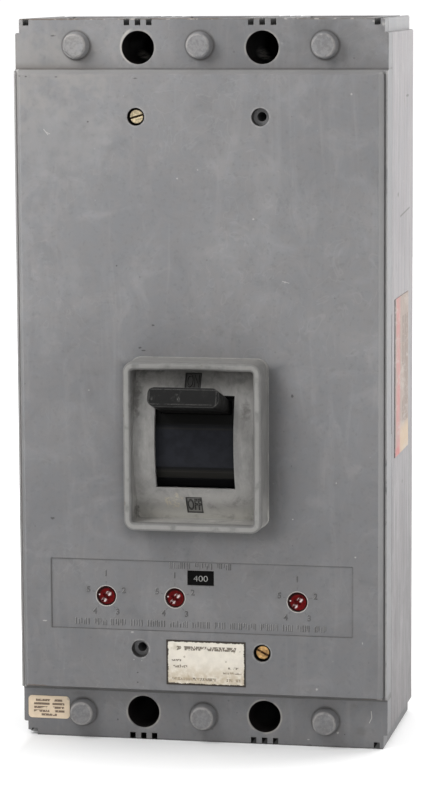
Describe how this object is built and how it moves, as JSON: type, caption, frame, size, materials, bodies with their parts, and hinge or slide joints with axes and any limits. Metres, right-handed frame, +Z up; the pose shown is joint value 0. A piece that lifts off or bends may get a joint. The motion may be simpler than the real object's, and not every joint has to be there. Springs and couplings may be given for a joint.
{
  "type": "molded case circuit breaker",
  "caption": "Tall box-shaped circuit breaker with a raised front panel, a toggle handle in a deep rectangular escutcheon, trip setting dials, end bosses and terminal pockets.",
  "frame": {"origin": "centre of the rear mounting face and of the four mounting holes", "axes": "+X to the right seen from the front, -Y to the front, +Z up towards the line end"},
  "size_m": [0.2099, 0.1492, 0.4064],
  "materials": {
    "base_plastic": "moulded grey, dusty and scuffed",
    "cover_plastic": "moulded grey, fine texture, scuffed",
    "escutcheon_plastic": "moulded warm grey",
    "handle_plastic": "black, rubbed at the edges",
    "shield_plastic": "dark grey",
    "steel": "plain",
    "dial_plastic": "glossy dark red",
    "plunger_plastic": "pale",
    "rating_plastic": "black with a plain number",
    "screw_brass": "dull, slotted",
    "front_label_paper": "worn paper",
    "corner_label_paper": "worn paper",
    "side_label_paper": "worn and faded paper",
    "terminal_copper": "dull copper"
  },
  "bodies": {
    "housing": {"base": "base_plastic", "cover": "cover_plastic", "handle_escutcheon": "escutcheon_plastic", "handle_pin": "steel", "rating_plate": "rating_plastic", "cover_screw_upper": "screw_brass", "cover_screw_lower": "screw_brass", "front_label": "front_label_paper", "corner_label": "corner_label_paper", "side_label": "side_label_paper", "line_terminal_left": "terminal_copper", "line_terminal_centre": "terminal_copper", "line_terminal_right": "terminal_copper", "load_terminal_left": "terminal_copper", "load_terminal_centre": "terminal_copper", "load_terminal_right": "terminal_copper"},
    "handle": {"handle_lever": "handle_plastic", "handle_shield": "shield_plastic", "handle_yoke": "steel"},
    "plunger_left": {"dial_plunger_left": "plunger_plastic"},
    "dial_left": {"trip_dial_left": "dial_plastic"},
    "plunger_centre": {"dial_plunger_centre": "plunger_plastic"},
    "dial_centre": {"trip_dial_centre": "dial_plastic"},
    "plunger_right": {"dial_plunger_right": "plunger_plastic"},
    "dial_right": {"trip_dial_right": "dial_plastic"}
  },
  "joints": [
    {"name": "handle_hinge", "type": "hinge", "parent": "housing", "child": "handle", "pos_m": [0, -0.0442, -0.0291], "axis": [1, 0, 0], "range_deg": [0, 31.6]},
    {"name": "press_left", "type": "slide", "parent": "housing", "child": "plunger_left", "axis": [0, 1, 0], "range_m": [0, 0.002], "stiffness_N_per_m": 300, "springref_m": -0.001},
    {"name": "turn_left", "type": "hinge", "parent": "plunger_left", "child": "dial_left", "pos_m": [-0.0544, -0.1, -0.1198], "axis": [0, 1, 0], "range_deg": [-144, 144]},
    {"name": "press_centre", "type": "slide", "parent": "housing", "child": "plunger_centre", "axis": [0, 1, 0], "range_m": [0, 0.002], "stiffness_N_per_m": 300, "springref_m": -0.001},
    {"name": "turn_centre", "type": "hinge", "parent": "plunger_centre", "child": "dial_centre", "pos_m": [-0.0148, -0.1, -0.1198], "axis": [0, 1, 0], "range_deg": [-144, 144]},
    {"name": "press_right", "type": "slide", "parent": "housing", "child": "plunger_right", "axis": [0, 1, 0], "range_m": [0, 0.002], "stiffness_N_per_m": 300, "springref_m": -0.001},
    {"name": "turn_right", "type": "hinge", "parent": "plunger_right", "child": "dial_right", "pos_m": [0.055, -0.1, -0.1198], "axis": [0, 1, 0], "range_deg": [-144, 144]}
  ]
}
